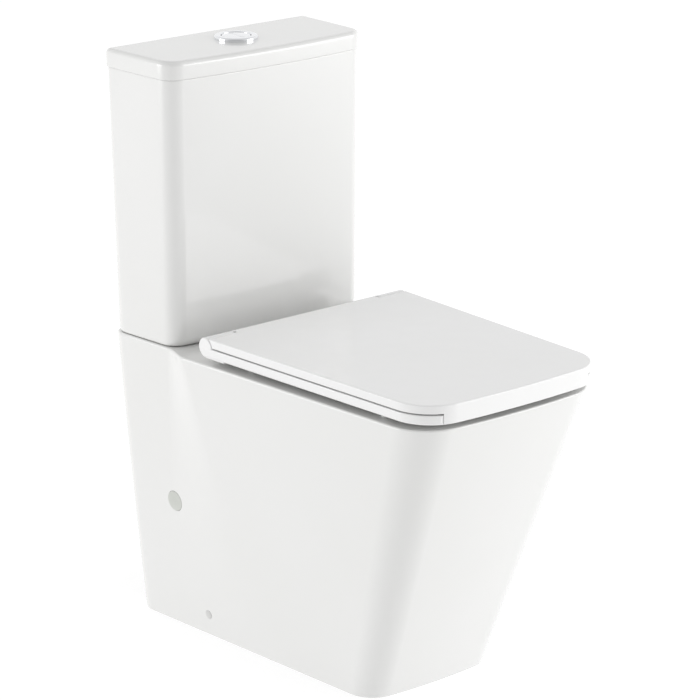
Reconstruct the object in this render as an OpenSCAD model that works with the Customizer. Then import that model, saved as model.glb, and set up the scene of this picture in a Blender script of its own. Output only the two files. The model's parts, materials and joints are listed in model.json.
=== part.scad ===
// Close coupled toilet, back to wall, with a dual flush cistern and a slim wrap-over seat.
// Millimetres. Z up from the floor, front towards -Y, wall plane at +Y, centred on X = 0.

/* [Overall] */
// Wall to the front edge of the seat lid
depth = 660; // [655:1:670]
// Height of the pan's rim and deck above the floor
rim_z = 435; // [430:1:440]
// Height of the cistern lid's top above the floor
top_z = 840; // [830:1:850]

/* [Pan] */
// Rim width where it meets the front corners
rim_front_w = 326; // [320:1:332]
// Rim width carried back to the wall, before the deck narrows
rim_rear_w = 402; // [396:1:406]
// How far each side of the deck steps in behind the hinges
deck_step = 21; // [15:1:25]
// Fall of the deck from the rim to the cistern's seat
deck_fall = 2.6; // [1:0.2:3]
// Foot width at the front corners
foot_front_w = 230; // [222:1:236]
// Foot width at the wall
foot_rear_w = 277; // [270:1:282]
// Wall to the front of the foot
foot_depth = 495; // [488:1:500]
// Thickness of the skirt wall
skirt_t = 12; // [10:0.5:13]
// Thickness of the deck and the rim
deck_t = 23; // [20:1:25]
// Thickness of the bowl and trap walls
bowl_t = 9; // [8:0.5:10]
// Radius of the trapway's bore
trap_r = 26; // [24:0.5:27]
// Height of the outlet's centre above the floor
outlet_z = 185; // [180:1:190]
// Outside radius of the outlet spigot
outlet_r = 51; // [50:0.5:52]

/* [Cistern] */
// Cistern width at the wall, at the top
tank_top_w = 356; // [352:1:358]
// Cistern width at the wall, at the bottom
tank_foot_w = 358; // [354:1:360]
// Cistern depth at the bottom, on the centre line
tank_foot_d = 148; // [146:1:150]
// Cistern wall thickness
tank_t = 10; // [9:0.5:11]
// Height of the cistern lid
lid_h = 26; // [25:1:28]
// Lid overhang past the cistern's sides
lid_over = 2; // [1:0.5:3]

/* [Buttons] */
// Outside radius of the chrome button ring
ring_r = 31; // [29:0.5:32]
// Radius of the hole in the cistern lid
lid_hole_r = 25; // [24.8:0.1:25.5]
// How far a flush button goes down
button_travel = 6; // [5:0.5:6]

/* [Seat] */
// Distance from the wall to the hinge line
hinge_back = 220.5; // [219:0.5:222]
// Height of the hinge line above the rim
hinge_up = 22.3; // [22:0.1:23]
// Half the spacing of the two seat hinges
hinge_x = 77.5; // [77:0.5:78]
// Seat and lid width carried back to the hinge line
seat_rear_w = 363; // [360:1:366]
// Seat and lid width at the front corners
seat_front_w = 324; // [320:1:328]
// Corner radius of the seat and lid
seat_corner_r = 60; // [56:1:62]
// Radius of the hinge ears and barrel
ear_r = 13.7; // [13.5:0.1:13.8]
// Thickness of the lid
seat_lid_t = 12; // [11.5:0.5:12]

/* [Hidden] */
$fn = 64;
wall = depth / 2;
front = -depth / 2;
cy = wall - 69;              // centre line of the flush valve, bolts and button
hy = wall - hinge_back;      // hinge line
hz = rim_z + hinge_up;
joint_z = rim_z - deck_fall + 0.8; // underside of the cistern
tank_z = top_z - lid_h;      // top of the cistern body
floor_z = joint_z + 12;      // inside floor of the cistern
hollow_z = rim_z - deck_t;   // underside of the deck
bolt_x = 80;
valve = [-122, cy + 5];      // fill valve axis
bow = 5.5;                   // bow of the cistern's front, degrees at the corners
plug_at = [153.3, wall - 111, 197];
cap_at = [134.5, wall - 161, 33];
lever_l = 32.5;              // fill valve lever, pivot to float rod
rod_y = valve.y - 22.5;
pivot_y = rod_y + lever_l;
ear_x0 = 132.5;              // inner end of the seat's hinge ears
barrel_x = ear_x0 - 3;       // end of the lid's hinge barrel
seat_z = hz - ear_r;         // underside of the seat
seat_top = hz - 0.3;
lid_top = hz + ear_r;        // top of the seat lid
lid_under = lid_top - seat_lid_t;
ceramic = [0.96, 0.96, 0.95];
plastic = [0.95, 0.95, 0.95];
chrome = [0.8, 0.82, 0.84];
brass = [0.78, 0.62, 0.3];
steel = [0.7, 0.71, 0.72];
rubber = [0.12, 0.12, 0.12];
grey = [0.8, 0.81, 0.78];
white_nylon = [0.88, 0.89, 0.88];
blue = [0.25, 0.4, 0.62];

// ---- helpers ----
function mix(a, b, t) = a + (b - a) * t;
function ease(t) = let (u = min(1, max(0, t))) u * u * (3 - 2 * u);

// Half outline of a tapered, round-cornered, bowed-front shape, from the front centre round the
// +X side to the rear centre. w: half widths [front, rear]; y: [front, rear]; r: corner radii.
// e insets the sides, ef the front; ys adds points along the side.
function half(w, y, r, b, e = 0, ef = undef, ys = []) =
  let (
    w0 = w[0] - e, w1 = w[1] - e, y0 = y[0] + (ef == undef ? e : ef), y1 = y[1] - e,
    r0 = max(r[0] - e, 1), r1 = max(r[1] - e, 0.5),
    t = atan((w1 - w0) / (y1 - y0)),
    d0 = r0 * tan((90 - t - b) / 2), x1 = w0 - d0 * cos(b),
    yc = y0 + x1 * tan(b) / 2 + d0 * sin(b),
    c0 = [w0, yc] - d0 * [cos(b), sin(b)] + r0 * [-sin(b), cos(b)],
    d1 = r1 * tan((90 + t) / 2),
    c1 = [w1, y1] - d1 * [sin(t), cos(t)] + r1 * [-cos(t), sin(t)],
    pa = c0 + r0 * [cos(t), -sin(t)], pb = c1 + r1 * [cos(t), -sin(t)])
  concat(
    [for (i = [0:3]) let (x = x1 * i / 4) [x, y0 + x * x * tan(b) / (2 * x1)]],
    [for (i = [0:8]) let (a = mix(b - 90, -t, i / 8)) c0 + r0 * [cos(a), sin(a)]],
    len(ys) == 0 ? [] : [for (i = [1, 2]) mix(pa, mix(pa, pb, (ys[0] - pa.y) / (pb.y - pa.y)), i / 3)],
    [for (v = ys) mix(pa, pb, (v - pa.y) / (pb.y - pa.y))],
    [for (i = [0:4]) let (a = mix(-t, 90, i / 4)) c1 + r1 * [cos(a), sin(a)]],
    [[0, y1]]);

function ring(h, z) = concat([for (p = h) [p.x, p.y, z]],
  [for (i = [len(h) - 2:-1:1]) [-h[i].x, h[i].y, z]]);
function power(v, p) = sign(v) * pow(abs(v), 2 / p);
function oval(a, b, yc, z, p, n = 40) =
  [for (i = [0:n - 1]) let (q = 360 * i / n - 90) [a * power(cos(q), p), yc + b * power(sin(q), p), z]];

// Solid through a stack of rings that all have the same number of points; strips closes the top
// with strips across X, for symmetric rings whose height changes along Y
module loft(rings, strips = false) {
  n = len(rings[0]);
  m = len(rings);
  a = (m - 1) * n;
  h = n / 2;
  polyhedron(
    points = [for (q = rings) for (p = q) p],
    faces = concat([[for (i = [0:n - 1]) i]],
      strips ? concat([[a + 1, a, a + n - 1]], [[a + h, a + h - 1, a + h - 2, a + h + 2, a + h + 1]],
        [for (i = [1:h - 3]) [a + i + 1, a + i, a + n - i, a + n - i - 1]])
      : [[for (i = [n - 1:-1:0]) a + i]],
      [for (k = [0:m - 2]) for (i = [0:n - 1]) [k * n + i, (k + 1) * n + i, (k + 1) * n + (i + 1) % n]],
      [for (k = [0:m - 2]) for (i = [0:n - 1])
        [k * n + i, (k + 1) * n + (i + 1) % n, k * n + (i + 1) % n]]));
}
module tube(ro, ri, z0, z1) {
  difference() {
    translate([0, 0, z0]) cylinder(r = ro, h = z1 - z0);
    translate([0, 0, z0 - 1]) cylinder(r = ri, h = z1 - z0 + 2);
  }
}
module disc(r, z0, z1) { translate([0, 0, z0]) cylinder(r = r, h = z1 - z0); }
module box(a, b) { translate(a) cube(b - a); }
module sides() { children(); mirror([1, 0, 0]) children(); }
// Bar along X about the hinge line
module hinge_bar(r, x0, x1) { translate([x0, hy, hz]) rotate([0, 90, 0]) cylinder(r = r, h = x1 - x0); }
// Frame whose +Z leaves the +X side of the skirt at a point
module on_skirt(at, tilt) { translate(at) rotate([0, 90 + tilt, -3]) children(); }

// ---- pan ----
// The sides step in and the deck falls behind the hinges, over a short length that fades out downwards
function step_y(t) = hy + mix(-60, 37.5, t);
function step_l(t) = mix(200, 59, t);
function pan_half(z, e) = let (t = z / rim_z, k = deck_step / (rim_rear_w / 2) * t,
    s0 = step_y(t), sl = step_l(t))
  [for (p = half([mix(foot_front_w, rim_front_w, t) / 2, mix(foot_rear_w, rim_rear_w, t) / 2],
      [mix(wall - foot_depth, front + 5, t), wall], [mix(42, 62, t), 26], 5, e, undef,
      [for (i = [0:5]) s0 + sl * i / 5]))
    [p.x * (1 - k * ease((p.y - s0) / sl)), p.y]];
function pan_ring(z, e) = let (t = z / rim_z)
  [for (p = ring(pan_half(z, e), z))
    [p.x, p.y, z - deck_fall * t * ease((p.y - step_y(t)) / step_l(t))]];
bowl = [
  // half width, half length, centre, height, squareness
  [127, 166, front + 226, rim_z + 1, 3], [128, 167, front + 226, rim_z - 30, 3],
  [112, 148, front + 232, rim_z - 95, 2.8], [80, 108, front + 246, rim_z - 165, 2.4],
  [44, 62, front + 252, 205, 2.1], [30, 36, front + 250, 150, 2], [26, 30, front + 250, 150 - trap_r, 2]];
trap_z = 150;
trap_y = wall - 295;         // end of the trap's level run
module bowl_solid(e, top) {
  loft([for (i = [len(bowl) - 1:-1:0]) let (b = bowl[i])
    oval(b[0] + e, b[1] + e, b[2], i == 0 ? top : i == len(bowl) - 1 ? b[3] - e : b[3], b[4])]);
}
module along_y(r, y0, y1, z) { translate([0, y0, z]) rotate([-90, 0, 0]) cylinder(r = r, h = y1 - y0); }
// Quarter bend in the YZ plane about a centre, from angle a to a + 90
module bend(yc, zc, rb, r, a) {
  translate([0, yc, zc]) rotate([90, 0, 90]) rotate([0, 0, a])
    rotate_extrude(angle = 90) translate([rb, 0]) circle(r = r);
}
module trap(r, y0) {
  along_y(r, y0, trap_y, trap_z);
  bend(trap_y, trap_z + 45, 45, r, -90);
  translate([0, trap_y + 45, trap_z + 45]) cylinder(r = r, h = 30);
  bend(trap_y + 90, trap_z + 75, 45, r, 90);
  bend(trap_y + 90, trap_z + 80, 40, r, 0);
  translate([0, trap_y + 130, outlet_z + 45]) cylinder(r = r, h = trap_z + 80 - outlet_z - 45 + 0.01);
  bend(trap_y + 175, outlet_z + 45, 45, r, 180);
  along_y(r, trap_y + 175, trap_y + 206, outlet_z);
}
module pan() color(ceramic) difference() {
  union() {
    difference() {
      loft([for (q = [[0, 2], [2, 0], [rim_z - 3.2, 0], [rim_z - 1, 0.9], [rim_z, 3]])
        pan_ring(q[0], q[1])], true);
      loft([ring(pan_half(0, skirt_t), -1), ring(pan_half(hollow_z, skirt_t), hollow_z)]);
      // open back of the skirt
      box([-112, wall - 25, -1], [112, wall + 1, rim_z - 55]);
    }
    bowl_solid(bowl_t, hollow_z + 8);
    trap(trap_r + bowl_t, front + 250);
    along_y(outlet_r, trap_y + 190, wall - 8, outlet_z);
    box([-58, cy - 59, hollow_z - 60], [58, cy + 59, hollow_z + 5]);
    box([-33, hy - 60, hollow_z - 58], [33, cy - 50, hollow_z + 5]);
  }
  bowl_solid(0, rim_z + 1);
  trap(trap_r, front + 250);
  along_y(outlet_r - 8, trap_y + 204, wall + 1, outlet_z);
  // flush inlet and the way to the bowl
  translate([0, cy, 0]) { disc(50, rim_z - 22, rim_z + 1); disc(34, hollow_z - 50, rim_z); }
  along_y(22, hy - 60, cy, hollow_z - 27);
  // deck holes: cistern bolts, water inlet, seat fixings
  sides() translate([bolt_x, cy, 0]) disc(6, hollow_z - 5, rim_z + 1);
  translate(valve) disc(24, hollow_z - 5, rim_z + 1);
  sides() translate([hinge_x, hy, 0]) disc(7.2, hollow_z - 5, rim_z + 1);
  // side holes: access plugs and bracket screws
  sides() on_skirt(plug_at, 5.4) { disc(12.6, -40, 6); disc(15.3, -1.8, 6); }
  sides() on_skirt(cap_at, 6.7) { disc(3, -25, 6); disc(6.5, -5, 6); }
}

// ---- cistern ----
function tank_half(z, e, ef = undef) = let (t = (z - joint_z) / (tank_z - joint_z))
  half([mix(170.5, 173.5, t), mix(tank_foot_w, tank_top_w, t) / 2],
    [wall - mix(tank_foot_d, 149, t), wall], [26, mix(30, 11, t)], bow, e, ef);
function lid_half(e) = half([173.5 + lid_over, tank_top_w / 2 + lid_over],
  [wall - 151.5, wall], [28, 9], bow, e);
module cistern_tank() color(ceramic) difference() {
  loft([for (q = [[0, 3, 9], [1.5, 1.3, 5.5], [5, 0.3, 2], [12, 0, 0]])
      ring(tank_half(joint_z + q[0], q[1], q[2]), joint_z + q[0]),
    ring(tank_half(tank_z - 1.5, 0), tank_z - 1.5), ring(tank_half(tank_z, 1.5), tank_z)]);
  loft([ring(tank_half(floor_z, tank_t + 4), floor_z), ring(tank_half(floor_z + 9, tank_t), floor_z + 9),
    ring(tank_half(tank_z, tank_t), tank_z + 1)]);
  translate([0, cy, 0]) disc(30.3, joint_z - 1, floor_z + 1);
  sides() translate([bolt_x, cy, 0]) disc(5, joint_z - 1, floor_z + 1);
  translate(valve) disc(10.9, joint_z - 1, floor_z + 1);
}
module cistern_lid() color(ceramic) difference() {
  union() {
    loft([for (q = [[tank_z, 1], [tank_z + 1.5, 0], [top_z - 7, 0], [top_z - 2, 2.2], [top_z, 7]])
      ring(lid_half(q[1]), q[0])]);
    loft([ring(lid_half(tank_t + lid_over + 1.5), tank_z - 8), ring(lid_half(tank_t + lid_over + 1.5), tank_z + 4)]);
  }
  loft([ring(lid_half(tank_t + lid_over + 5), tank_z - 9), ring(lid_half(tank_t + lid_over + 9), top_z - 12)]);
  translate([0, cy, 0]) disc(lid_hole_r, tank_z, top_z + 1);
}
module button_ring() color(chrome) translate([0, cy, 0]) difference() {
  union() {
    disc(ring_r, top_z, top_z + 3);
    translate([0, 0, top_z + 3]) cylinder(r1 = ring_r, r2 = ring_r - 2.5, h = 2.5);
    disc(lid_hole_r - 0.5, top_z - 37, top_z);
  }
  disc(21.2, top_z - 34, top_z + 6);
  disc(18, top_z - 38, top_z - 33);
}
module button_nut() color(white_nylon) translate([0, cy, 0]) {
  tube(34, lid_hole_r - 0.5, top_z - 22, top_z - 12);
}
// One half of the round flush plate, split by a shallow S curve
module half_button() {
  difference() {
    disc(20.8, top_z - 8, top_z + 5);
    linear_extrude(height = 2 * top_z)
      polygon(concat([[-30, -24], [0.4, -24]], [for (v = [-21:3:21]) [0.4 + 1.6 * sin(v * 8.5), v]],
        [[0.4, 24], [-30, 24]]));
  }
  difference() {
    translate([10, 0, 0]) disc(6, top_z - 25, top_z - 8);
    translate([10, 0, 0]) disc(2.5, top_z - 26, top_z - 12);
  }
}
module full_flush_button() color(chrome) translate([0, cy, 0]) half_button();
module half_flush_button() color(chrome) translate([0, cy, 0]) rotate([0, 0, 180]) half_button();
module push_rod(x) { translate([x, cy, 0]) disc(2.5, tank_z - 119.5, top_z - 12); }
module full_push_rod() color(brass) push_rod(10);
module half_push_rod() color(brass) push_rod(-10);

// ---- flush valve ----
module flush_valve_base() color(white_nylon) translate([0, cy, 0]) difference() {
  union() {
    disc(40, floor_z + 3, floor_z + 8);
    disc(30, floor_z - 44, floor_z + 3);
    disc(28, floor_z + 8, floor_z + 11);
  }
  disc(24, floor_z - 45, floor_z + 12);
  for (i = [0:3]) rotate([0, 0, 45 + 90 * i]) translate([36, 0, 0]) disc(1.6, floor_z, floor_z + 9);
}
module flush_valve_gasket() color(rubber) translate([0, cy, 0]) tube(40, 30.1, floor_z, floor_z + 3);
module flush_valve_nut() color(white_nylon) translate([0, cy, 0]) {
  tube(38, 30.1, joint_z - 13, joint_z);
  for (i = [0:5]) rotate([0, 0, 60 * i]) box([37, -4, joint_z - 13], [41, 4, joint_z]);
}
module flush_valve_cage() color(blue) translate([0, cy, 0]) {
  tube(38, 34, floor_z + 51, tank_z - 124);
  for (i = [0:3]) rotate([0, 0, 90 * i]) box([34, -6, floor_z + 8], [38, 6, floor_z + 52]);
  tube(36, 16.1, floor_z + 111, floor_z + 116);
  difference() {
    disc(38, tank_z - 124, tank_z - 116);
    for (x = [-10, 10]) translate([x, 0, 0]) disc(2.6, tank_z - 125, tank_z - 115);
    for (y = [-24, 24]) translate([0, y, 0]) disc(7, tank_z - 125, tank_z - 115);
  }
}
module overflow_tube() color(white_nylon) translate([0, cy, 0]) {
  tube(16, 13, floor_z + 15, tank_z - 149);
  tube(29, 13, floor_z + 15, floor_z + 19);
}
module flush_seal() color(rubber) translate([0, cy, 0]) tube(29, 13, floor_z + 11, floor_z + 15);
module coupling_seal() color(rubber) translate([0, cy, 0]) {
  tube(49.5, 42, rim_z - 22, joint_z);
  tube(44, 34, rim_z - 22, rim_z - 17);
}

// ---- fill valve ----
module fill_valve_body() color(white_nylon) translate(valve) difference() {
  union() {
    disc(10.48, joint_z - 33, joint_z - 13);
    disc(9.6, joint_z - 13.01, joint_z - 11.5);
    disc(10.48, joint_z - 11.5, floor_z + 3);
    disc(19, floor_z + 2, floor_z + 5);
    disc(9, floor_z + 5, tank_z - 160);
    disc(19, tank_z - 164, tank_z - 138);
    sides() box([3.2, pivot_y - valve.y - 4, tank_z - 139], [6.2, pivot_y - valve.y + 4, tank_z - 127]);
  }
  disc(4, joint_z - 34, tank_z - 170);
  translate([-10, pivot_y - valve.y, tank_z - 132]) rotate([0, 90, 0]) cylinder(r = 1.5, h = 20);
}
module fill_valve_gasket() color(rubber) translate(valve) tube(18, 10.48, floor_z, floor_z + 2);
module fill_valve_nut() color(white_nylon) translate(valve) difference() {
  union() {
    disc(14, joint_z - 11.5, joint_z);
    for (i = [0:3]) rotate([0, 0, 45 * i]) box([-15.5, -4, joint_z - 11.5], [15.5, 4, joint_z - 3]);
  }
  disc(10.48, joint_z - 13, joint_z + 1);
}
module fill_valve_float() color(grey) {
  translate(valve) difference() {
    disc(27, floor_z + 71, floor_z + 141);
    disc(9.3, floor_z + 70, floor_z + 142);
    difference() { disc(25, floor_z + 70, floor_z + 138); disc(11.3, floor_z + 70, floor_z + 138); }
  }
  translate([valve.x, rod_y, 0]) {
    disc(1.5, floor_z + 141, tank_z - 124);
    disc(3.4, tank_z - 139, tank_z - 137);
    disc(3.4, tank_z - 127, tank_z - 125);
  }
}
module fill_valve_lever() color(blue) translate([valve.x, 0, 0]) difference() {
  union() {
    box([-2.6, rod_y, tank_z - 133.5], [2.6, pivot_y, tank_z - 130.5]);
    translate([-2.6, pivot_y, tank_z - 132]) rotate([0, 90, 0]) cylinder(r = 3.5, h = 5.2);
    translate([0, rod_y - 1, 0]) disc(6.5, tank_z - 133.5, tank_z - 130.5);
  }
  translate([-5, pivot_y, tank_z - 132]) rotate([0, 90, 0]) cylinder(r = 1.55, h = 10);
  box([-2.5, rod_y - 3, tank_z - 135], [2.5, rod_y + 1, tank_z - 129]);
  for (v = [-3, 1]) translate([0, rod_y + v, 0]) disc(2.5, tank_z - 135, tank_z - 129);
}
module fill_valve_pivot() color(steel) translate([valve.x - 7, pivot_y, tank_z - 132])
  rotate([0, 90, 0]) cylinder(r = 1.5, h = 14);

// ---- cistern fixings ----
module cistern_bolts() color(brass) sides() translate([bolt_x, cy, 0]) {
  disc(4, hollow_z - 28, floor_z + 4);
  disc(9, floor_z + 4, floor_z + 9);
}
module cistern_bolt_seals() color(rubber) sides() translate([bolt_x, cy, 0]) tube(13, 4, floor_z, floor_z + 4);
module cistern_bolt_washers() color(steel) sides() translate([bolt_x, cy, 0])
  tube(14, 4.3, hollow_z - 2.5, hollow_z);
module cistern_wing_nuts() color(brass) sides() translate([bolt_x, cy, 0]) {
  tube(8, 4, hollow_z - 12, hollow_z - 2.5);
  for (s = [0, 180]) rotate([0, 0, 90 + s]) box([7, -1.5, hollow_z - 16], [17, 1.5, hollow_z - 4]);
}

// ---- seat hinges ----
module hinge_posts() color(chrome) sides() difference() {
  union() {
    translate([hinge_x, hy, 0]) disc(14, rim_z, rim_z + 3);
    box([hinge_x - 7, hy - 9, rim_z + 3], [hinge_x + 7, hy + 9, hz]);
    hinge_bar(9, hinge_x - 7, hinge_x + 7);
  }
  hinge_bar(5, hinge_x - 8, hinge_x + 8);
  translate([hinge_x, hy, 0]) disc(3, rim_z - 1, rim_z + 10);
}
module hinge_pins() color(steel) sides() hinge_bar(5, 50, 172);
module seat_fixing_studs() color(steel) sides() translate([hinge_x, hy, 0]) disc(3, hollow_z - 22, rim_z + 10);
module seat_fixing_sleeves() color(rubber) sides() translate([hinge_x, hy, 0]) {
  tube(7, 3, hollow_z, rim_z);
  tube(11, 3, hollow_z - 8, hollow_z);
}
module seat_fixing_nuts() color(white_nylon) sides() translate([hinge_x, hy, 0]) difference() {
  union() {
    disc(10, hollow_z - 18, hollow_z - 8);
    for (i = [0:3]) rotate([0, 0, 45 * i]) box([-11, -2.5, hollow_z - 18], [11, 2.5, hollow_z - 12]);
  }
  disc(3, hollow_z - 19, hollow_z - 7);
}

// ---- seat ----
function seat_half(e) = half([seat_front_w / 2, seat_rear_w / 2], [front, hy], [seat_corner_r, 1], 4, e);
module seat_ring() color(plastic) difference() {
  union() {
    difference() {
      loft([for (q = [[seat_z, 3.5], [seat_z + 1.5, 1], [seat_z + 4, 0], [seat_top - 1.5, 0], [seat_top, 1.5]])
        ring(seat_half(q[1]), q[0])]);
      box([-ear_x0, hy - 17.5, seat_z - 1], [ear_x0, hy + 1, seat_top + 1]);
      // front set back behind the lid's lip
      box([-200, front - 1, seat_z - 1], [200, front + 10, seat_top + 1]);
    }
    sides() hinge_bar(ear_r, ear_x0, seat_rear_w / 2 - 0.5);
    // pads that carry the ears, a little below the seat
    sides() intersection() {
      loft([ring(seat_half(2.2), seat_z - 1.7), ring(seat_half(0.8), seat_z), ring(seat_half(0.8), seat_z + 4)]);
      box([ear_x0, hy - 38, seat_z - 2], [200, hy - 0.5, seat_z + 5]);
    }
    sides() translate([ear_x0, hy - 0.5, hz - 1.5]) rotate([0, 90, 0])
      cylinder(r = ear_r + 0.2, h = seat_rear_w / 2 - 1.5 - ear_x0);
  }
  loft([oval(116, 153, front + 215, seat_z - 1, 2.6), oval(112, 149, front + 215, seat_z + 6, 2.6),
    oval(118, 156, front + 215, seat_top + 1, 2.6)]);
  sides() hinge_bar(8, ear_x0 - 1, 173);
}
module seat_bushes() color(white_nylon) sides() difference() {
  hinge_bar(8, ear_x0, 173);
  hinge_bar(5.05, ear_x0 - 1, 174);
}
module seat_buffers() color(rubber) sides() {
  translate([152, hy - 70, 0]) disc(7, rim_z, seat_z);
  translate([143, front + 105, 0]) disc(7, rim_z, seat_z);
}
module seat_lid() color(plastic) difference() {
  union() {
    loft([for (q = [[lid_under, 0.8], [lid_under + 0.8, 0], [lid_top - 1.6, 0], [lid_top - 0.4, 0.6], [lid_top, 1.6]])
      ring(seat_half(q[1]), q[0])]);
    hinge_bar(ear_r, -barrel_x, barrel_x);
    // lip that closes over the front of the seat
    intersection() {
      difference() {
        loft([ring(seat_half(1.5), seat_z + 0.8), ring(seat_half(0), seat_z + 3), ring(seat_half(0), lid_under + 2)]);
        loft([ring(seat_half(5), seat_z - 1), ring(seat_half(5), lid_under)]);
      }
      box([-127, front - 1, seat_z - 2], [127, front + 9, lid_under + 3]);
    }
  }
  // ends clear of the seat's ears
  sides() {
    hinge_bar(ear_r + 2, barrel_x, 190);
    box([barrel_x, hy - 7.7, lid_under - 2], [190, hy + 20, lid_top + 1]);
  }
  // pockets round the posts, open below and behind
  sides() {
    hinge_bar(10.9, hinge_x - 10.5, hinge_x + 10.5);
    box([hinge_x - 10.5, hy - 11, seat_z - 1], [hinge_x + 10.5, hy + 16, hz + 10.9]);
    hinge_bar(8, 49, ear_x0);
  }
}
module lid_bushes() color(white_nylon) sides() difference() {
  union() { hinge_bar(8, 50, 66.5); hinge_bar(8, 88.5, 129); }
  hinge_bar(5.05, 49, 130);
}
module lid_buffers() color(rubber) sides() {
  translate([143, hy - 80, 0]) disc(5, seat_top, lid_under);
  translate([138, front + 120, 0]) disc(5, seat_top, lid_under);
}

// ---- skirt fittings ----
module access_plugs() color(grey) sides() on_skirt(plug_at, 5.4) {
  disc(15, -1.8, 1.2);
  tube(12.55, 10.5, -13, -1.8);
}
module floor_brackets() color(white_nylon) sides() difference() {
  union() {
    box([58, cap_at.y - 20, 0], [112, cap_at.y + 22, 7]);
    box([98, cap_at.y - 16, 6], [112, cap_at.y + 18, 52]);
  }
  translate([78, cap_at.y, 0]) disc(4, -1, 8);
  on_skirt(cap_at, 6.7) disc(2.4, -60, 0);
}
module bracket_screws() color(steel) sides() on_skirt(cap_at, 6.7) {
  disc(2.4, -32, -5);
  disc(5.4, -5, -2.2);
}
module bracket_caps() color(plastic) sides() on_skirt(cap_at, 6.7) disc(6.2, -2.2, 0.8);

pan();
cistern_tank();
cistern_lid();
button_ring();
button_nut();
half_flush_button();
full_flush_button();
half_push_rod();
full_push_rod();
flush_valve_base();
flush_valve_gasket();
flush_valve_nut();
flush_valve_cage();
overflow_tube();
flush_seal();
coupling_seal();
fill_valve_body();
fill_valve_gasket();
fill_valve_nut();
fill_valve_float();
fill_valve_lever();
fill_valve_pivot();
cistern_bolts();
cistern_bolt_seals();
cistern_bolt_washers();
cistern_wing_nuts();
hinge_posts();
hinge_pins();
seat_fixing_studs();
seat_fixing_sleeves();
seat_fixing_nuts();
seat_ring();
seat_bushes();
seat_buffers();
seat_lid();
lid_bushes();
lid_buffers();
access_plugs();
floor_brackets();
bracket_screws();
bracket_caps();
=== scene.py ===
import json
import math
from math import sin, cos, tan, atan, pi, radians

import bmesh
import bpy
from mathutils import Matrix, Vector


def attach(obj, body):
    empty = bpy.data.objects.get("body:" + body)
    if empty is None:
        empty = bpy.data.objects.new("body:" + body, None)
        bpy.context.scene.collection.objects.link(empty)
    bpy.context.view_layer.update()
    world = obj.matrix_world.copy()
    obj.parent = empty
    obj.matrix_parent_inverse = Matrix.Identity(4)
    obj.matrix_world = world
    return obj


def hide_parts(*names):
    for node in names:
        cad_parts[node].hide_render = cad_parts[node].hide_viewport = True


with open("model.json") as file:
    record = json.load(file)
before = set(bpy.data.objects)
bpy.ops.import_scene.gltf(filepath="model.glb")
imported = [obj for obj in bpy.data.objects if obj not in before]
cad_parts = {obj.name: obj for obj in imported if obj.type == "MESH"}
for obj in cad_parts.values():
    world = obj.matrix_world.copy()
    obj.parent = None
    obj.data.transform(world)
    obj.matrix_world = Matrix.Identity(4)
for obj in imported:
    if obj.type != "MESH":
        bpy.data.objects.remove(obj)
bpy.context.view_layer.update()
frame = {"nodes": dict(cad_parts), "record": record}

# ------------------------------------------------------------------ sizes (mm)
FRONT, WALL = -330.0, 330.0            # front edge of the seat lid, wall plane
RIM, TOP = 435.0, 840.0                # tops of the pan and of the cistern lid
FALL = 2.6                             # fall of the deck behind the hinges
JOINT, TANK = RIM - FALL + 0.8, 814.0  # underside and top of the cistern
FLOOR_IN = JOINT + 12                  # inside floor of the cistern
HOLLOW = 412.0                         # underside of the deck
CY = 261.0                             # centre line of the flush valve, bolts and buttons
HY, HZ = 109.5, 457.3                  # hinge line
EAR = 13.7                             # radius of the hinge ears and barrel
SEAT_Z, SEAT_TOP = HZ - EAR, HZ - 0.3
LID_UNDER, LID_TOP = HZ + EAR - 12, HZ + EAR
EAR_X, BARREL_X = 132.5, 129.5         # inner end of the ears, end of the barrel
HINGE_X, BOLT_X = 77.5, 80             # half spacings of the seat hinges and the cistern bolts
VALVE = (-122.0, 266.0)                # fill valve axis

FOOT_W, RIM_W = (230, 277), (326, 402)  # pan widths at the front corners and at the wall
FOOT_DEPTH, SKIRT_T = 495, 12
STEP_IN = 21.0                          # step in of the deck's sides behind the hinges
TRAP_Z, OUTLET_Z = 150.0, 185.0         # centre heights of the trap's level run and the outlet
TRAP_R, OUTLET_R, TRAP_T = 26, 51, 9
BOWL_FOOT, BOWL_TOP = 124.0, 436

TANK_W, TANK_D = (358, 356), (148, 149)  # cistern width at the wall and depth, foot and top
TANK_FRONT = (170.5, 173.5)              # half widths of the cistern's front, foot and top
LID_HALF, LID_D = (175.5, 180), 151.5    # cistern lid half widths, front and wall, and depth
SEAT_HALF, SEAT_CORNER = (162, 181.5), 60
RING_R = 31.0                            # outside radius of the button ring


def mix(a, b, t):
    return a + (b - a) * t


def ease(t):
    u = min(1.0, max(0.0, t))
    return u * u * (3 - 2 * u)


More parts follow.
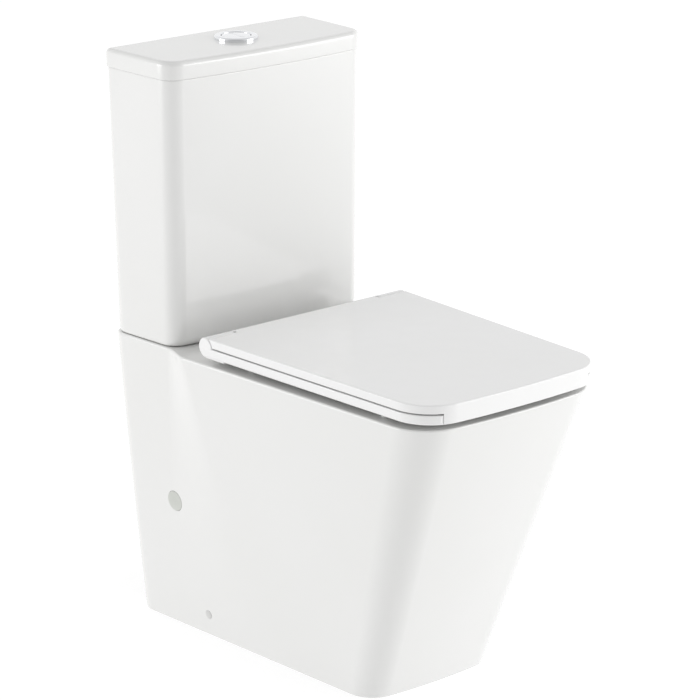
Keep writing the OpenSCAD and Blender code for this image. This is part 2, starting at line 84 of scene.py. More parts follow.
# ------------------------------------------------------------------ mesh tools
def half(w, y, r, b, e=0.0, ef=None, side=None, nf=12, nc=18, nr=8):
    """Half outline from the front centre round +X to the rear centre, tapered, bowed and round-cornered."""
    w0, w1 = w[0] - e, w[1] - e
    y0, y1 = y[0] + (e if ef is None else ef), y[1] - e
    r0, r1 = max(r[0] - e, 1.0), max(r[1] - e, 0.5)
    t, b = atan((w1 - w0) / (y1 - y0)), radians(b)
    d0 = r0 * tan((pi / 2 - t - b) / 2)
    x1 = w0 - d0 * cos(b)
    yc = y0 + x1 * tan(b) / 2 + d0 * sin(b)
    c0 = (w0 - d0 * cos(b) - r0 * sin(b), yc - d0 * sin(b) + r0 * cos(b))
    d1 = r1 * tan((pi / 2 + t) / 2)
    c1 = (w1 - d1 * sin(t) - r1 * cos(t), y1 - d1 * cos(t) + r1 * sin(t))
    pa = (c0[0] + r0 * cos(t), c0[1] - r0 * sin(t))
    pb = (c1[0] + r1 * cos(t), c1[1] - r1 * sin(t))
    out = []
    for i in range(nf):
        x = x1 * i / nf
        out.append((x, y0 + x * x * tan(b) / (2 * x1)))
    for i in range(nc + 1):
        a = mix(b - pi / 2, -t, i / nc)
        out.append((c0[0] + r0 * cos(a), c0[1] + r0 * sin(a)))
    for v in (side(pa[1], pb[1]) if side else [mix(pa[1], pb[1], i / 10) for i in range(1, 10)]):
        u = (v - pa[1]) / (pb[1] - pa[1])
        out.append((mix(pa[0], pb[0], u), v))
    for i in range(nr + 1):
        a = mix(-t, pi / 2, i / nr)
        out.append((c1[0] + r1 * cos(a), c1[1] + r1 * sin(a)))
    out.append((0.0, y1))
    return out


def ring(h, z):
    """Closed ring at a height from a half outline and its mirror image."""
    return [(x, y, z) for x, y in h] + [(-x, y, z) for x, y in h[-2:0:-1]]


def oval(a, b, yc, z, p, n=96):
    """Ring of a superellipse with half axes a, b and squareness p."""
    out = []
    for i in range(n):
        q = 2 * pi * i / n - pi / 2
        c, s = cos(q), sin(q)
        out.append((a * math.copysign(abs(c) ** (2 / p), c), yc + b * math.copysign(abs(s) ** (2 / p), s), z))
    return out


def mesh(name, verts, faces):
    """Object from points in mm."""
    m = bpy.data.meshes.new(name)
    m.from_pydata([(x / 1000, y / 1000, z / 1000) for x, y, z in verts], [], faces)
    m.validate()
    m.update()
    o = bpy.data.objects.new(name, m)
    bpy.context.scene.collection.objects.link(o)
    return o


def loft(name, rings, closed=False, strips=False):
    """Closed solid through rings with equal point counts; closed=True joins the last ring to the first, and
    strips=True closes the top with strips across X, for a symmetric ring that changes height along Y."""
    n, m = len(rings[0]), len(rings)
    verts = [p for r in rings for p in r]
    faces = []
    for k in range(m if closed else m - 1):
        k2 = (k + 1) % m
        for i in range(n):
            j = (i + 1) % n
            faces.append((k * n + i, k * n + j, k2 * n + j, k2 * n + i))
    if not closed:
        faces.append(tuple(range(n - 1, -1, -1)))
        a, h = (m - 1) * n, n // 2
        if strips:
            faces += [(a + n - 1, a, a + 1), (a + h + 1, a + h + 2, a + h - 2, a + h - 1, a + h)]
            faces += [(a + n - i - 1, a + n - i, a + i, a + i + 1) for i in range(1, h - 2)]
        else:
            faces.append(tuple(a + i for i in range(n)))
    return mesh(name, verts, faces)


def lathe(name, profile, centre=(0, 0), n=96):
    """Solid of revolution about a vertical axis; profile is a closed loop of (radius, z), seen on the +X side
    going anticlockwise."""
    rings = []
    for i in range(n):
        a = 2 * pi * i / n
        rings.append([(centre[0] + r * cos(a), centre[1] + r * sin(a), z) for r, z in profile])
    o = loft(name, rings, closed=True)
    return outward(o)


def outward(o):
    """Turns every face of a closed mesh outwards."""
    bm = bmesh.new()
    bm.from_mesh(o.data)
    bmesh.ops.remove_doubles(bm, verts=bm.verts, dist=1e-7)
    bmesh.ops.recalc_face_normals(bm, faces=bm.faces)
    bm.to_mesh(o.data)
    bm.free()
    return o


def rod(name, r, p0, p1, n=48, chamfer=0.0):
    """Round bar between two points, with optional end chamfers."""
    a, b = Vector(p0), Vector(p1)
    d = (b - a)
    length = d.length
    q = Vector((0, 0, 1)).rotation_difference(d.normalized())
    stops = [(0, r), (length, r)]
    if chamfer:
        stops = [(0, r - chamfer), (chamfer, r), (length - chamfer, r), (length, r - chamfer)]
    rings = []
    for s, rr in stops:
        rings.append([tuple(a + q @ Vector((rr * cos(2 * pi * i / n), rr * sin(2 * pi * i / n), s))) for i in range(n)])
    return loft(name, rings)


def box(name, lo, hi):
    x0, y0, z0 = lo
    x1, y1, z1 = hi
    return loft(name, [[(x0, y0, z), (x1, y0, z), (x1, y1, z), (x0, y1, z)] for z in (z0, z1)])


def pipe(name, r, path, n=40):
    """Pipe in the YZ plane through (y, z) points."""
    rings = []
    for i, (y, z) in enumerate(path):
        a = path[max(i - 1, 0)]
        b = path[min(i + 1, len(path) - 1)]
        ty, tz = b[0] - a[0], b[1] - a[1]
        k = math.hypot(ty, tz)
        ty, tz = ty / k, tz / k
        rings.append([(r * cos(2 * pi * j / n), y - r * sin(2 * pi * j / n) * tz, z + r * sin(2 * pi * j / n) * ty)
                      for j in range(n)])
    return outward(loft(name, rings))


def cut(o, *others, op="DIFFERENCE"):
    """Boolean of an object with others, which are used up."""
    for other in others:
        mod = o.modifiers.new("b", "BOOLEAN")
        mod.operation, mod.solver, mod.object = op, "MANIFOLD", other
        bpy.context.view_layer.update()
        new = bpy.data.meshes.new_from_object(o.evaluated_get(bpy.context.evaluated_depsgraph_get()))
        o.modifiers.clear()
        old, o.data = o.data, new
        bpy.data.meshes.remove(old)
        new.name = o.name
        bpy.data.objects.remove(other)
    return o


def join(o, *others):
    return cut(o, *others, op="UNION")


def finish_mesh(o, angle=32.0):
    """Smooth shading with sharp edges kept and flat faces held flat."""
    bm = bmesh.new()
    bm.from_mesh(o.data)
    bmesh.ops.remove_doubles(bm, verts=bm.verts, dist=2e-6)
    bmesh.ops.dissolve_degenerate(bm, edges=bm.edges, dist=1e-6)
    bm.to_mesh(o.data)
    bm.free()
    o.data.shade_smooth()
    o.data.set_sharp_from_angle(angle=radians(angle))
    mod = o.modifiers.new("n", "WEIGHTED_NORMAL")
    mod.keep_sharp = True
    mod.weight = 60
    bpy.context.view_layer.update()
    new = bpy.data.meshes.new_from_object(o.evaluated_get(bpy.context.evaluated_depsgraph_get()))
    o.modifiers.clear()
    o.data = new
    new.name = o.name
    return o


def bar_x(name, r, x0, x1, n=64, chamfer=0.0):
    """Bar along the hinge line."""
    return rod(name, r, (x0, HY, HZ), (x1, HY, HZ), n, chamfer)


def fillet(z_from, z_to, e, n=7):
    """Rings of (z, inset) round an edge: from a wall at z_from to a face at z_to, inset e at the face."""
    return [(z_from + (z_to - z_from) * sin(pi / 2 * i / n), e * (1 - cos(pi / 2 * i / n))) for i in range(n + 1)]


# ------------------------------------------------------------------ materials
def material(name, base, rough, metal=0.0, coat=0.0, coat_rough=0.04, spec=0.5, tint=None, tint_scale=4.0,
             bump=(), rough_to=None, rough_scale=20.0, subsurface=0.0):
    m = bpy.data.materials.new(name)
    m.use_nodes = True
    nt = m.node_tree
    b = nt.nodes["Principled BSDF"]
    b.inputs["Base Color"].default_value = (*base, 1)
    b.inputs["Roughness"].default_value = rough
    b.inputs["Metallic"].default_value = metal
    b.inputs["Coat Weight"].default_value = coat
    b.inputs["Coat Roughness"].default_value = coat_rough
    b.inputs["Specular IOR Level"].default_value = spec
    if subsurface:
        b.inputs["Subsurface Weight"].default_value = subsurface
        b.inputs["Subsurface Radius"].default_value = (0.004, 0.004, 0.0035)
    tc = nt.nodes.new("ShaderNodeTexCoord")

    def noise(scale, detail=2.0, distort=0.0):
        t = nt.nodes.new("ShaderNodeTexNoise")
        t.inputs["Scale"].default_value = scale
        t.inputs["Detail"].default_value = detail
        t.inputs["Distortion"].default_value = distort
        nt.links.new(tc.outputs["Object"], t.inputs["Vector"])
        return t

    if tint:
        t = noise(tint_scale, 3.0)
        ramp = nt.nodes.new("ShaderNodeValToRGB")
        ramp.color_ramp.elements[0].position = 0.35
        ramp.color_ramp.elements[1].position = 0.65
        ramp.color_ramp.elements[0].color = (*tint, 1)
        ramp.color_ramp.elements[1].color = (*base, 1)
        nt.links.new(t.outputs["Fac"], ramp.inputs["Fac"])
        nt.links.new(ramp.outputs["Color"], b.inputs["Base Color"])
    if rough_to is not None:
        t = noise(rough_scale, 4.0)
        mr = nt.nodes.new("ShaderNodeMapRange")
        mr.inputs["From Min"].default_value = 0.3
        mr.inputs["From Max"].default_value = 0.7
        mr.inputs["To Min"].default_value = rough
        mr.inputs["To Max"].default_value = rough_to
        nt.links.new(t.outputs["Fac"], mr.inputs["Value"])
        nt.links.new(mr.outputs["Result"], b.inputs["Roughness"])
    last = None
    for scale, strength, dist in bump:
        t = noise(scale, 3.0)
        bn = nt.nodes.new("ShaderNodeBump")
        bn.inputs["Strength"].default_value = strength
        bn.inputs["Distance"].default_value = dist
        nt.links.new(t.outputs["Fac"], bn.inputs["Height"])
        if last:
            nt.links.new(last.outputs["Normal"], bn.inputs["Normal"])
        last = bn
    if last:
        nt.links.new(last.outputs["Normal"], b.inputs["Normal"])
    return m


W = 0.74
china = material("china_glaze", (W, W, W * 0.99), 0.16, coat=0.55, tint=(W * 0.985, W * 0.985, W * 0.97),
                 tint_scale=3.0, bump=((14.0, 0.035, 0.002), (420.0, 0.02, 0.0002)), rough_to=0.2, rough_scale=9.0)
P = 0.80
seat_white = material("seat_gloss_white", (P, P, P), 0.2, coat=0.3, coat_rough=0.08,
                      tint=(P * 0.99, P * 0.99, P * 0.985), tint_scale=5.0,
                      bump=((260.0, 0.02, 0.0003),), rough_to=0.26, rough_scale=30.0)
chrome = material("chrome_plate", (0.82, 0.83, 0.85), 0.06, metal=1.0, bump=((90.0, 0.02, 0.0003),), rough_to=0.12,
                  rough_scale=60.0)
brass = material("turned_brass", (0.72, 0.53, 0.24), 0.22, metal=1.0, tint=(0.6, 0.43, 0.2), tint_scale=60.0,
                 bump=((700.0, 0.08, 0.0003),), rough_to=0.38, rough_scale=160.0)
steel = material("zinc_steel", (0.6, 0.61, 0.62), 0.28, metal=1.0, tint=(0.52, 0.53, 0.55), tint_scale=50.0,
                 bump=((500.0, 0.06, 0.0003),), rough_to=0.42, rough_scale=120.0)
seal = material("black_rubber", (0.03, 0.03, 0.032), 0.6, tint=(0.045, 0.045, 0.045), tint_scale=80.0,
                bump=((900.0, 0.15, 0.0004),), rough_to=0.8, rough_scale=90.0)
pad = material("clear_soft_pad", (0.62, 0.63, 0.62), 0.4, tint=(0.56, 0.57, 0.56), tint_scale=70.0,
               bump=((600.0, 0.08, 0.0003),), rough_to=0.55, rough_scale=90.0, subsurface=0.3)
nylon = material("natural_nylon", (0.66, 0.67, 0.65), 0.38, tint=(0.62, 0.63, 0.6), tint_scale=30.0,
                 bump=((400.0, 0.08, 0.0004),), rough_to=0.5, rough_scale=80.0, subsurface=0.15)
blue = material("valve_blue_plastic", (0.04, 0.12, 0.36), 0.36, tint=(0.035, 0.1, 0.31), tint_scale=30.0,
                bump=((350.0, 0.08, 0.0004),), rough_to=0.48, rough_scale=80.0)
float_grey = material("float_grey_plastic", (0.36, 0.37, 0.37), 0.4, tint=(0.32, 0.33, 0.33), tint_scale=30.0,
                      bump=((350.0, 0.08, 0.0004),), rough_to=0.52, rough_scale=80.0)
plug_grey = material("plug_grey_plastic", (0.55, 0.565, 0.53), 0.34, tint=(0.52, 0.535, 0.5), tint_scale=40.0,
                     bump=((300.0, 0.05, 0.0004),), rough_to=0.42, rough_scale=80.0)
cap_white = material("cap_plastic", (0.6, 0.6, 0.59), 0.25, tint=(0.57, 0.57, 0.56), tint_scale=60.0,
                     bump=((300.0, 0.04, 0.0004),), rough_to=0.34, rough_scale=80.0)

BY_SLOT = {"china": china, "seat_plastic": seat_white, "chrome_trim": chrome, "brass_rod": brass, "steel_pin": steel,
           "seal_rubber": seal, "buffer_rubber": pad, "nylon": nylon, "valve_blue": blue, "float_grey": float_grey,
           "plug_grey": plug_grey, "cap_plastic": cap_white}
for part in frame["record"]["subparts"]:
    node = frame["nodes"][part["node"]]
    node.data.materials.clear()
    node.data.materials.append(BY_SLOT[part["material_slot"]])


def span(s, a, b):
    """The stretch from a to b on side s, in ascending order."""
    return sorted((s * a, s * b))


def place(o, body, slot, *nodes):
    """Gives a piece its material and body, and hides the CAD nodes that it stands for."""
    o.data.materials.clear()
    o.data.materials.append(BY_SLOT[slot])
    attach(o, body)
    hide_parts(*nodes)
    return o


# ------------------------------------------------------------------ pan
def step(t):
    """Start and length along Y of the deck's step at height fraction t; it fades out downwards."""
    return HY + mix(-60, 37.5, t), mix(200, 59, t)


def pan_half(z, e):
    """Half outline of the skirt at a height, inset by e."""
    t = min(z / RIM, 1.0)
    k = STEP_IN / (RIM_W[1] / 2) * t
    s0, sl = step(t)

    def side(ya, yb):
        front = [mix(ya, s0, i / 8) for i in range(1, 8)]
        middle = [s0 + sl * i / 16 for i in range(17)]
        rear = [mix(s0 + sl, yb, i / 4) for i in range(1, 4)]
        return front + middle + rear

    h = half((mix(FOOT_W[0], RIM_W[0], t) / 2, mix(FOOT_W[1], RIM_W[1], t) / 2),
             (mix(WALL - FOOT_DEPTH, FRONT + 5, t), WALL), (mix(42, 62, t), 26), 5, e, None, side)
    return [(x * (1 - k * ease((y - s0) / sl)), y) for x, y in h]


def pan_ring(z, e):
    t = min(z / RIM, 1.0)
    s0, sl = step(t)
    return [(x, y, h - FALL * t * ease((y - s0) / sl)) for x, y, h in ring(pan_half(z, e), z)]


# height, half width, half length, centre and squareness
BOWL = [(BOWL_TOP, 127, 166, -104, 3.0), (405, 128, 167, -104, 3.0), (340, 112, 148, -98, 2.8),
        (270, 80, 108, -84, 2.4),
        (205, 44, 62, -78, 2.1), (150, 30, 36, -80, 2.0), (BOWL_FOOT, 26, 30, -80, 2.0)]


def bowl_at(z):
    """Bowl section at a height, smoothly interpolated through the key sections."""
    ks = BOWL[::-1]
    i = max(k for k in range(len(ks) - 1) if k == 0 or ks[k][0] <= z)
    a, b = ks[i], ks[i + 1]
    before, after = ks[max(i - 1, 0)], ks[min(i + 2, len(ks) - 1)]
    u = (z - a[0]) / (b[0] - a[0])
    out = []
    for c in range(1, 5):
        ma = (b[c] - before[c]) / (b[0] - before[0]) * (b[0] - a[0])
        mb = (after[c] - a[c]) / (after[0] - a[0]) * (b[0] - a[0])
        d = b[c] - a[c]
        ma = 0.0 if ma * d <= 0 else math.copysign(min(abs(ma), 3 * abs(d)), d)
        mb = 0.0 if mb * d <= 0 else math.copysign(min(abs(mb), 3 * abs(d)), d)
        out.append((2 * u**3 - 3 * u**2 + 1) * a[c] + (u**3 - 2 * u**2 + u) * ma + (3 * u**2 - 2 * u**3) * b[c]
                   + (u**3 - u**2) * mb)
    return out


def bowl_solid(name, e, top, flare=0.0, bottom=BOWL_FOOT):
    """The bowl's space grown by e, with an optional flare at the rim."""
    rings = []
    zs = [bottom - e] + [bottom + 2 + i * (top - 12 - bottom) / 34 for i in range(35)]
    for z in zs:
        a, b, yc, p = bowl_at(max(z, BOWL_FOOT))
        rings.append(oval(a + e, b + e, yc, z, p))
    a, b, yc, p = bowl_at(min(top, BOWL_TOP))
    if flare:
        for z, f in [(top - flare + flare * sin(q), flare * (1 - cos(q))) for q in [pi / 2 * i / 8 for i in range(9)]]:
            rings.append(oval(a + e + f, b + e + f, yc, z, p))
        rings.append(oval(a + e + flare, b + e + flare, yc, top + 4, p))
    else:
        rings.append(oval(a + e, b + e, yc, top, p))
    return loft(name, rings)


def trap_path(y0, y1):
    """Centre line (y, z) of the trapway: level, up, over the weir, down and out."""
    pts = [(y0, TRAP_Z), (0.0, TRAP_Z), (30.0, TRAP_Z)]

    def arc(yc, zc, rb, a0, a1, n=14):
        for i in range(1, n + 1):
            a = radians(mix(a0, a1, i / n))
            pts.append((yc + rb * cos(a), zc + rb * sin(a)))
    pts.append((35.0, TRAP_Z))
    arc(35, 195, 45, -90, 0)
    pts.append((80.0, 210.0))
    arc(125, 225, 45, 180, 90)
    arc(125, 230, 40, 90, 0)
    arc(210, 230, 45, 180, 270)
    pts.append((y1, OUTLET_Z))
    return pts


rings = [pan_ring(z, e) for z, e in fillet(3, 0, 2, 4)[::-1]]
rings += [pan_ring(z, 0) for z in [15 + 25.5 * i for i in range(17)]]
rings += [pan_ring(z, e) for z, e in fillet(RIM - 3.4, RIM, 3.2, 7)]
pan = loft("pan_china", rings, strips=True)
hollow = loft("t", [ring(pan_half(max(z, 0), SKIRT_T), z) for z in [-2] + [i * HOLLOW / 12 for i in range(1, 13)]])
cut(pan, hollow)
cut(pan, box("t", (-112, WALL - 25, -5), (112, WALL + 5, RIM - 55)))
join(pan, bowl_solid("t", TRAP_T, HOLLOW + 8))
join(pan, pipe("t", TRAP_R + TRAP_T, trap_path(-80, 320)))
join(pan, rod("t", OUTLET_R, (0, 225, OUTLET_Z), (0, 322, OUTLET_Z), 72, 2.0))
join(pan, box("t", (-58, CY - 59, HOLLOW - 60), (58, CY + 59, HOLLOW + 5)))
join(pan, box("t", (-33, HY - 60, HOLLOW - 58), (33, CY - 50, HOLLOW + 5)))
cut(pan, bowl_solid("t", 0, RIM, flare=7))
cut(pan, pipe("t", TRAP_R, trap_path(-80, 260)))
cut(pan, rod("t", OUTLET_R - 8, (0, 239, OUTLET_Z), (0, 332, OUTLET_Z), 72))
cut(pan, rod("t", 50, (0, CY, RIM - 22), (0, CY, RIM + 5), 72))
cut(pan, rod("t", 34, (0, CY, HOLLOW - 50), (0, CY, RIM), 64))
cut(pan, rod("t", 22, (0, HY - 60, HOLLOW - 27), (0, CY, HOLLOW - 27)))
for s in (-1, 1):
    cut(pan, rod("t", 6, (s * BOLT_X, CY, HOLLOW - 5), (s * BOLT_X, CY, RIM + 5)))
    cut(pan, rod("t", 7.2, (s * HINGE_X, HY, HOLLOW - 5), (s * HINGE_X, HY, RIM + 5)))
cut(pan, rod("t", 24, (*VALVE, HOLLOW - 5), (*VALVE, RIM + 5)))


def on_skirt(s, at, tilt):
    """Maps (radial x, radial y, out) to the row frame for a fitting square to the skirt, on side s."""
    m = Matrix.Translation(Vector(at)) @ Matrix.Rotation(radians(-3), 4, "Z")
    m = m @ Matrix.Rotation(radians(90 + tilt), 4, "Y")
    return lambda p: tuple(Vector((s, 1, 1)) * (m @ Vector(p)))


PLUG, CAP = ((153.3, WALL - 111, 197), 5.4), ((134.5, WALL - 161, 33), 6.7)
for s in (-1, 1):
    for (at, tilt), r, lo, hi in ((PLUG, 12.6, -40, 6), (PLUG, 15.3, -1.8, 6), (CAP, 3, -25, 6), (CAP, 6.5, -5, 6)):
        f = on_skirt(s, at, tilt)
        cut(pan, rod("t", r, f((0, 0, lo)), f((0, 0, hi)), 56))
place(finish_mesh(pan, 30), "root", "china", "pan")

# ------------------------------------------------------------------ cistern
def tank_half(z, e, ef=None):
    t = (z - JOINT) / (TANK - JOINT)
    return half((mix(*TANK_FRONT, t), mix(*TANK_W, t) / 2), (WALL - mix(*TANK_D, t), WALL), (26, mix(30, 11, t)), 5.5,
                e, ef)


def lid_half(e):
    return half(LID_HALF, (WALL - LID_D, WALL), (28, 9), 5.5, e)


rings = []
for i in range(9):
    a = pi / 2 * (1 - i / 8)
    z = JOINT + 12 * (1 - sin(a))
    rings.append(ring(tank_half(z, 3 * (1 - cos(a)) ** 1.4, 9 * (1 - cos(a))), z))
rings += [ring(tank_half(z, 0), z) for z in [JOINT + 12 + 30 * i for i in range(1, 12)]]
rings += [ring(tank_half(z, e), z) for z, e in fillet(TANK - 2.0, TANK, 1.6, 5)]
tank = loft("cistern_china", rings)
inner = [ring(tank_half(FLOOR_IN, 14), FLOOR_IN), ring(tank_half(FLOOR_IN + 3, 11.6), FLOOR_IN + 3)]
inner += [ring(tank_half(z, 10), z) for z in (FLOOR_IN + 9, 560, 680, TANK - 3)]
inner += [ring(tank_half(TANK, 9.2), TANK + 0.0), ring(tank_half(TANK, 9.2), TANK + 4)]
cut(tank, loft("t", inner))
cut(tank, rod("t", 30.3, (0, CY, JOINT - 3), (0, CY, FLOOR_IN + 3), 64))
for s in (-1, 1):
    cut(tank, rod("t", 5, (s * BOLT_X, CY, JOINT - 3), (s * BOLT_X, CY, FLOOR_IN + 3)))
cut(tank, rod("t", 10.9, (*VALVE, JOINT - 3), (*VALVE, FLOOR_IN + 3)))
place(finish_mesh(tank, 34), "root", "china", "cistern_tank")

rings = [ring(lid_half(e), z) for z, e in fillet(TANK + 1.8, TANK, 1.4, 4)[::-1]]
rings += [ring(lid_half(0), z) for z in (820, 827)]
rings += [ring(lid_half(e), z) for z, e in fillet(TOP - 7, TOP, 7, 12)]
lid = loft("cistern_lid_china", rings)
join(lid, loft("t", [ring(lid_half(14.5), TANK - 8), ring(lid_half(13.5), TANK - 7), ring(lid_half(13.5), TANK + 4)]))
cut(lid, loft("t", [ring(lid_half(17), TANK - 9), ring(lid_half(21), TOP - 14), ring(lid_half(26), TOP - 12)]))
cut(lid, rod("t", 25, (0, CY, TANK), (0, CY, TOP + 3), 80))
place(finish_mesh(lid, 34), "cistern_lid", "china", "cistern_lid")

# ------------------------------------------------------------------ flush buttons
R = RING_R
prof = [(24.5, 840), (R, 840), (R, 842.2)]
prof += [(R - 3 + 3 * cos(q), 842.2 + 3.1 * sin(q)) for q in [pi / 2 * i / 8 for i in range(1, 9)]]
prof += [(24.5, 845.5), (22.6, 845.2), (21.6, 844.6), (21.2, 843.6), (21.2, 806), (18, 806), (18, 803), (24.5, 803)]
place(finish_mesh(lathe("button_ring_chrome", prof, (0, CY), 128), 32), "cistern_lid", "chrome_trim", "button_ring")


def half_plate(name, sgn):
    """Half of the round flush plate, with a soft top edge, a crowned face and a stem."""
    def outline(e):
        r = 20.8 - e
        split = [(0.4 + e + 1.6 * sin(radians(8.5 * v)), v) for v in [mix(-r, r, i / 24) for i in range(25)]]
        split = [(x, y) for x, y in split if math.hypot(x, y) < r - 0.05]
        a0, a1 = math.atan2(split[0][1], split[0][0]), math.atan2(split[-1][1], split[-1][0])
        arc = [(r * cos(mix(a0, a1, i / 40)), r * sin(mix(a0, a1, i / 40))) for i in range(41)]
        return arc, split[::-1]

    def sample(e):
        arc, split = outline(e)
        line = [arc[-1]] + split + [arc[0]]
        out = list(arc[:-1])
        lens = [math.dist(line[i], line[i + 1]) for i in range(len(line) - 1)]
        total = sum(lens)
        for j in range(24):
            d = total * j / 24
            i = 0
            while d > lens[i] and i < len(lens) - 1:
                d -= lens[i]
                i += 1
            u = d / lens[i] if lens[i] else 0
            out.append((mix(line[i][0], line[i + 1][0], u), mix(line[i][1], line[i + 1][1], u)))
        return out
    rings = []
    edge = [(843.2 + 1.3 * sin(q), 1.2 * (1 - cos(q))) for q in [pi / 2 * i / 5 for i in range(1, 6)]]
    for z, e in [(832, 0), (843.2, 0)] + edge:
        rings.append([(sgn * x, CY + sgn * y, z) for x, y in sample(e)])
    base = sample(1.2)
    cx = 9.0
    for k in (0.8, 0.55, 0.3, 0.08):
        rings.append([(sgn * mix(cx, x, k), CY + sgn * y * k, 844.5 + 0.5 * (1 - k * k)) for x, y in base])
    o = outward(loft(name, rings))
    join(o, rod("t", 6, (sgn * 10, CY, 815), (sgn * 10, CY, 833), 40, 0.6))
    cut(o, rod("t", 2.55, (sgn * 10, CY, 812), (sgn * 10, CY, 828), 24))
    return finish_mesh(o, 34)


place(half_plate("full_flush_plate", 1), "full_flush", "chrome_trim", "full_flush_button")
place(half_plate("half_flush_plate", -1), "half_flush", "chrome_trim", "half_flush_button")

# ------------------------------------------------------------------ seat and lid
def seat_half(e):
    return half(SEAT_HALF, (FRONT, HY), (SEAT_CORNER, 1), 4, e, None, None, 16, 26, 3)


rings = [ring(seat_half(e), z) for z, e in fillet(SEAT_Z + 3.6, SEAT_Z, 3.2, 6)[::-1]]
rings += [ring(seat_half(0), z) for z in (450, 453)]
rings += [ring(seat_half(e), z) for z, e in fillet(SEAT_TOP - 1.6, SEAT_TOP, 1.5, 6)]
seat = loft("seat_ring_shell", rings)
cut(seat, box("t", (-EAR_X, HY - 17.5, SEAT_Z - 3), (EAR_X, HY + 3, SEAT_TOP + 3)))
cut(seat, box("t", (-200, FRONT - 5, SEAT_Z - 3), (200, FRONT + 10, SEAT_TOP + 3)))
for s in (-1, 1):
    a, b = span(s, EAR_X, 181.0)
    join(seat, bar_x("t", EAR, a, b, 96, 1.0))
    b = s * 179.8
    join(seat, rod("t", EAR + 0.2, (s * EAR_X, HY - 0.5, HZ - 1.5), (b, HY - 0.5, HZ - 1.5), 96, 0.8))
    a, b = span(s, EAR_X, 200)
    stops = ((2.2, -1.65), (1.4, -1.2), (0.8, 0), (0.8, 4))
    ear_pad = loft("pad", [ring(seat_half(e), SEAT_Z + dz) for e, dz in stops])
    keep = box("t", (a, HY - 38, SEAT_Z - 2), (b, HY - 0.5, SEAT_Z + 5))
    join(seat, cut(ear_pad, keep, op="INTERSECT"))
hole = [oval(118, 155, FRONT + 215, SEAT_Z - 3, 2.6), oval(116, 153, FRONT + 215, SEAT_Z, 2.6)]
for q in (0, 0.5, 1):
    out = 1.6 * (q - 1) ** 2
    hole.append(oval(112 + out, 149 + out, FRONT + 215, SEAT_Z + 3 + 3 * q, 2.6))
hole += [oval(112 + f, 149 + f, FRONT + 215, z, 2.6) for z, f in fillet(SEAT_TOP - 6.5, SEAT_TOP, 7, 8)[1:]]
hole += [oval(119, 156, FRONT + 215, SEAT_TOP + 3, 2.6)]
cut(seat, loft("t", hole))
for s in (-1, 1):
    a, b = span(s, 130, 173)
    cut(seat, bar_x("t", 8, a, b))
place(finish_mesh(seat, 36), "seat", "seat_plastic", "seat_ring")

rings = [ring(seat_half(e), z) for z, e in fillet(LID_UNDER + 1, LID_UNDER, 0.8, 3)[::-1]]
rings += [ring(seat_half(0), z) for z in (463, 466)]
rings += [ring(seat_half(e), z) for z, e in fillet(LID_TOP - 1.9, LID_TOP, 1.9, 8)]
slid = loft("seat_lid_shell", rings)
join(slid, bar_x("t", EAR, -BARREL_X, BARREL_X, 128, 0.8))
lip = loft("lip", [ring(seat_half(e), z) for z, e in fillet(SEAT_Z + 3, SEAT_Z + 0.8, 1.5, 5)[::-1]]
           + [ring(seat_half(0), LID_UNDER + 2)])
cut(lip, loft("t", [ring(seat_half(5), SEAT_Z - 3), ring(seat_half(5), LID_UNDER)]))
cut(lip, box("t", (-140, FRONT - 1, SEAT_Z - 2), (140, FRONT + 9.2, LID_UNDER + 3)), op="INTERSECT")
join(slid, lip)
for s in (-1, 1):
    a, b = span(s, BARREL_X, 192)
    cut(slid, bar_x("t", EAR + 2, a, b, 96))
    cut(slid, box("t", (a, HY - 7.7, LID_UNDER - 4), (b, HY + 22, LID_TOP + 4)))
    a, b = span(s, 67, 88)
    cut(slid, bar_x("t", 10.9, a, b))
    cut(slid, box("t", (a, HY - 11, SEAT_Z - 4), (b, HY + 18, HZ + 10.9)))
    a, b = span(s, 49, 131)
    cut(slid, bar_x("t", 8, a, b))
place(finish_mesh(slid, 34), "seat_lid", "seat_plastic", "seat_lid")

# ------------------------------------------------------------------ skirt plugs and caps
def domed(name, s, at, tilt, r, lo, edge, top, extra=()):
    f = on_skirt(s, at, tilt)
    stops = [(r, lo), (r, top - edge)]
    stops += [(r - edge + edge * cos(q), top - edge + edge * sin(q)) for q in (0.4, 0.8, 1.2, pi / 2)]
    stops += [(r * 0.6, top + 0.15), (r * 0.2, top + 0.2)]
    rings = [[f((rr * cos(2 * pi * i / 64), rr * sin(2 * pi * i / 64), h)) for i in range(64)] for rr, h in stops]
    o = outward(loft(name, rings))
    for rr, h0, h1, hole in extra:
        join(o, rod("t", rr, f((0, 0, h0)), f((0, 0, h1)), 48))
        cut(o, rod("t", hole, f((0, 0, h0 - 2)), f((0, 0, h1 - 0.5)), 48))
    return finish_mesh(o, 34)


SIDES = (("left", -1), ("right", 1))
for n, s in SIDES:
    plug = domed(f"access_plug_{n}", s, *PLUG, 15, -1.8, 0.9, 1.0, ((12.55, -13, -1.6, 10.5),))
    place(plug, "root", "plug_grey", "access_plugs")
for n, s in SIDES:
    place(domed(f"bracket_cap_{n}", s, *CAP, 6.2, -2.2, 0.5, 0.6), "root", "cap_plastic", "bracket_caps")

# ------------------------------------------------------------------ floor, light, camera
floor = mesh("floor", [(-12000, -12000, 0), (12000, -12000, 0), (12000, 12000, 0), (-12000, 12000, 0)], [(0, 1, 2, 3)])
fm = bpy.data.materials.new("floor_white")
fm.use_nodes = True
fb = fm.node_tree.nodes["Principled BSDF"]
fb.inputs["Base Color"].default_value = (0.4, 0.4, 0.4, 1)
fb.inputs["Roughness"].default_value = 0.7
fb.inputs["Specular IOR Level"].default_value = 0.1
fb.inputs["Emission Color"].default_value = (1, 1, 1, 1)
fb.inputs["Emission Strength"].default_value = 0.68
floor.data.materials.append(fm)

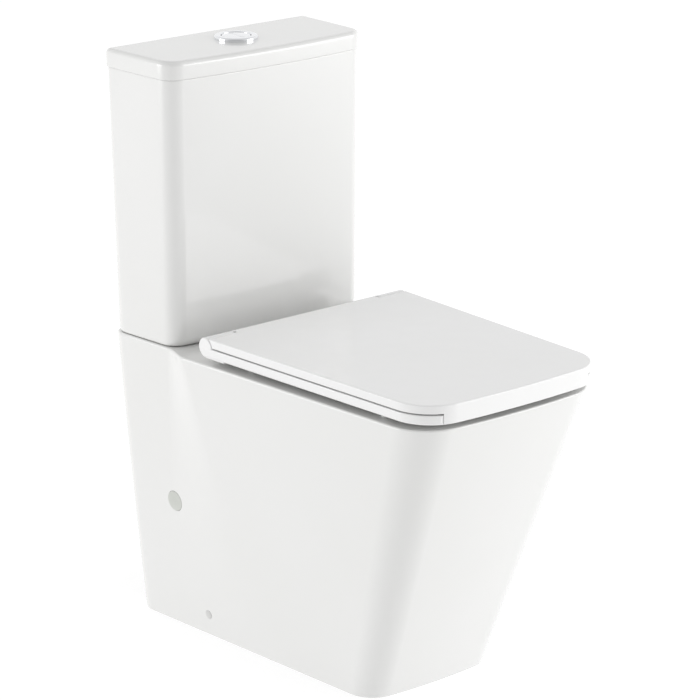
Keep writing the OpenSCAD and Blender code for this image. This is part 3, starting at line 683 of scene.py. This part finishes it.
scene = bpy.context.scene
world = bpy.data.worlds.new("studio")
scene.world = world
world.use_nodes = True
wn = world.node_tree
wn.nodes["Background"].inputs["Strength"].default_value = 1.0
wc = wn.nodes.new("ShaderNodeTexCoord")


def lobe(direction, start, end, to):
    """World brightness that falls from 1 to a floor value towards a direction."""
    d = wn.nodes.new("ShaderNodeVectorMath")
    d.operation = "DOT_PRODUCT"
    d.inputs[1].default_value = Vector(direction).normalized()
    wn.links.new(wc.outputs["Generated"], d.inputs[0])
    r = wn.nodes.new("ShaderNodeMapRange")
    r.interpolation_type = "SMOOTHSTEP"
    r.inputs["From Min"].default_value = start
    r.inputs["From Max"].default_value = end
    r.inputs["To Min"].default_value = 1.0
    r.inputs["To Max"].default_value = to
    wn.links.new(d.outputs["Value"], r.inputs["Value"])
    return r.outputs["Result"]


mul = wn.nodes.new("ShaderNodeMath")
mul.operation = "MULTIPLY"
wn.links.new(lobe((-0.65, -0.76, 0.0), 0.2, 0.95, 0.5), mul.inputs[0])
wn.links.new(lobe((0.0, 0.0, 1.0), 0.3, 1.0, 0.75), mul.inputs[1])
wn.links.new(mul.outputs[0], wn.nodes["Background"].inputs["Color"])


def area(name, loc, target, size, power):
    d = bpy.data.lights.new(name, "AREA")
    d.shape, d.size, d.energy = "SQUARE", size, power
    o = bpy.data.objects.new(name, d)
    o.location = loc
    o.rotation_euler = (Vector(target) - Vector(loc)).to_track_quat("-Z", "Y").to_euler()
    scene.collection.objects.link(o)
    return o


area("front_right", (3.0, -3.2, 1.0), (0, 0, 0.45), 3.0, 100)
area("left_rear", (-3.6, 2.2, 1.0), (0, 0, 0.5), 2.2, 52)

scene.view_settings.view_transform = "Standard"
scene.view_settings.look = "None"

cam = bpy.data.cameras.new("camera")
cam.sensor_fit = "HORIZONTAL"
cam.sensor_width = 36.0
cam.lens = 161.58
cam.clip_end = 60
camera = bpy.data.objects.new("camera", cam)
az, el = radians(-40.6), radians(17.32)
back = Vector((sin(az) * cos(el), -cos(az) * cos(el), sin(el)))
right = Vector((cos(az), sin(az), 0))
up = back.cross(right)
camera.matrix_world = Matrix((
    (right.x, up.x, back.x, -2.7051),
    (right.y, up.y, back.y, -3.1410),
    (right.z, up.z, back.z, 1.7356),
    (0, 0, 0, 1)))
scene.collection.objects.link(camera)
scene.camera = camera
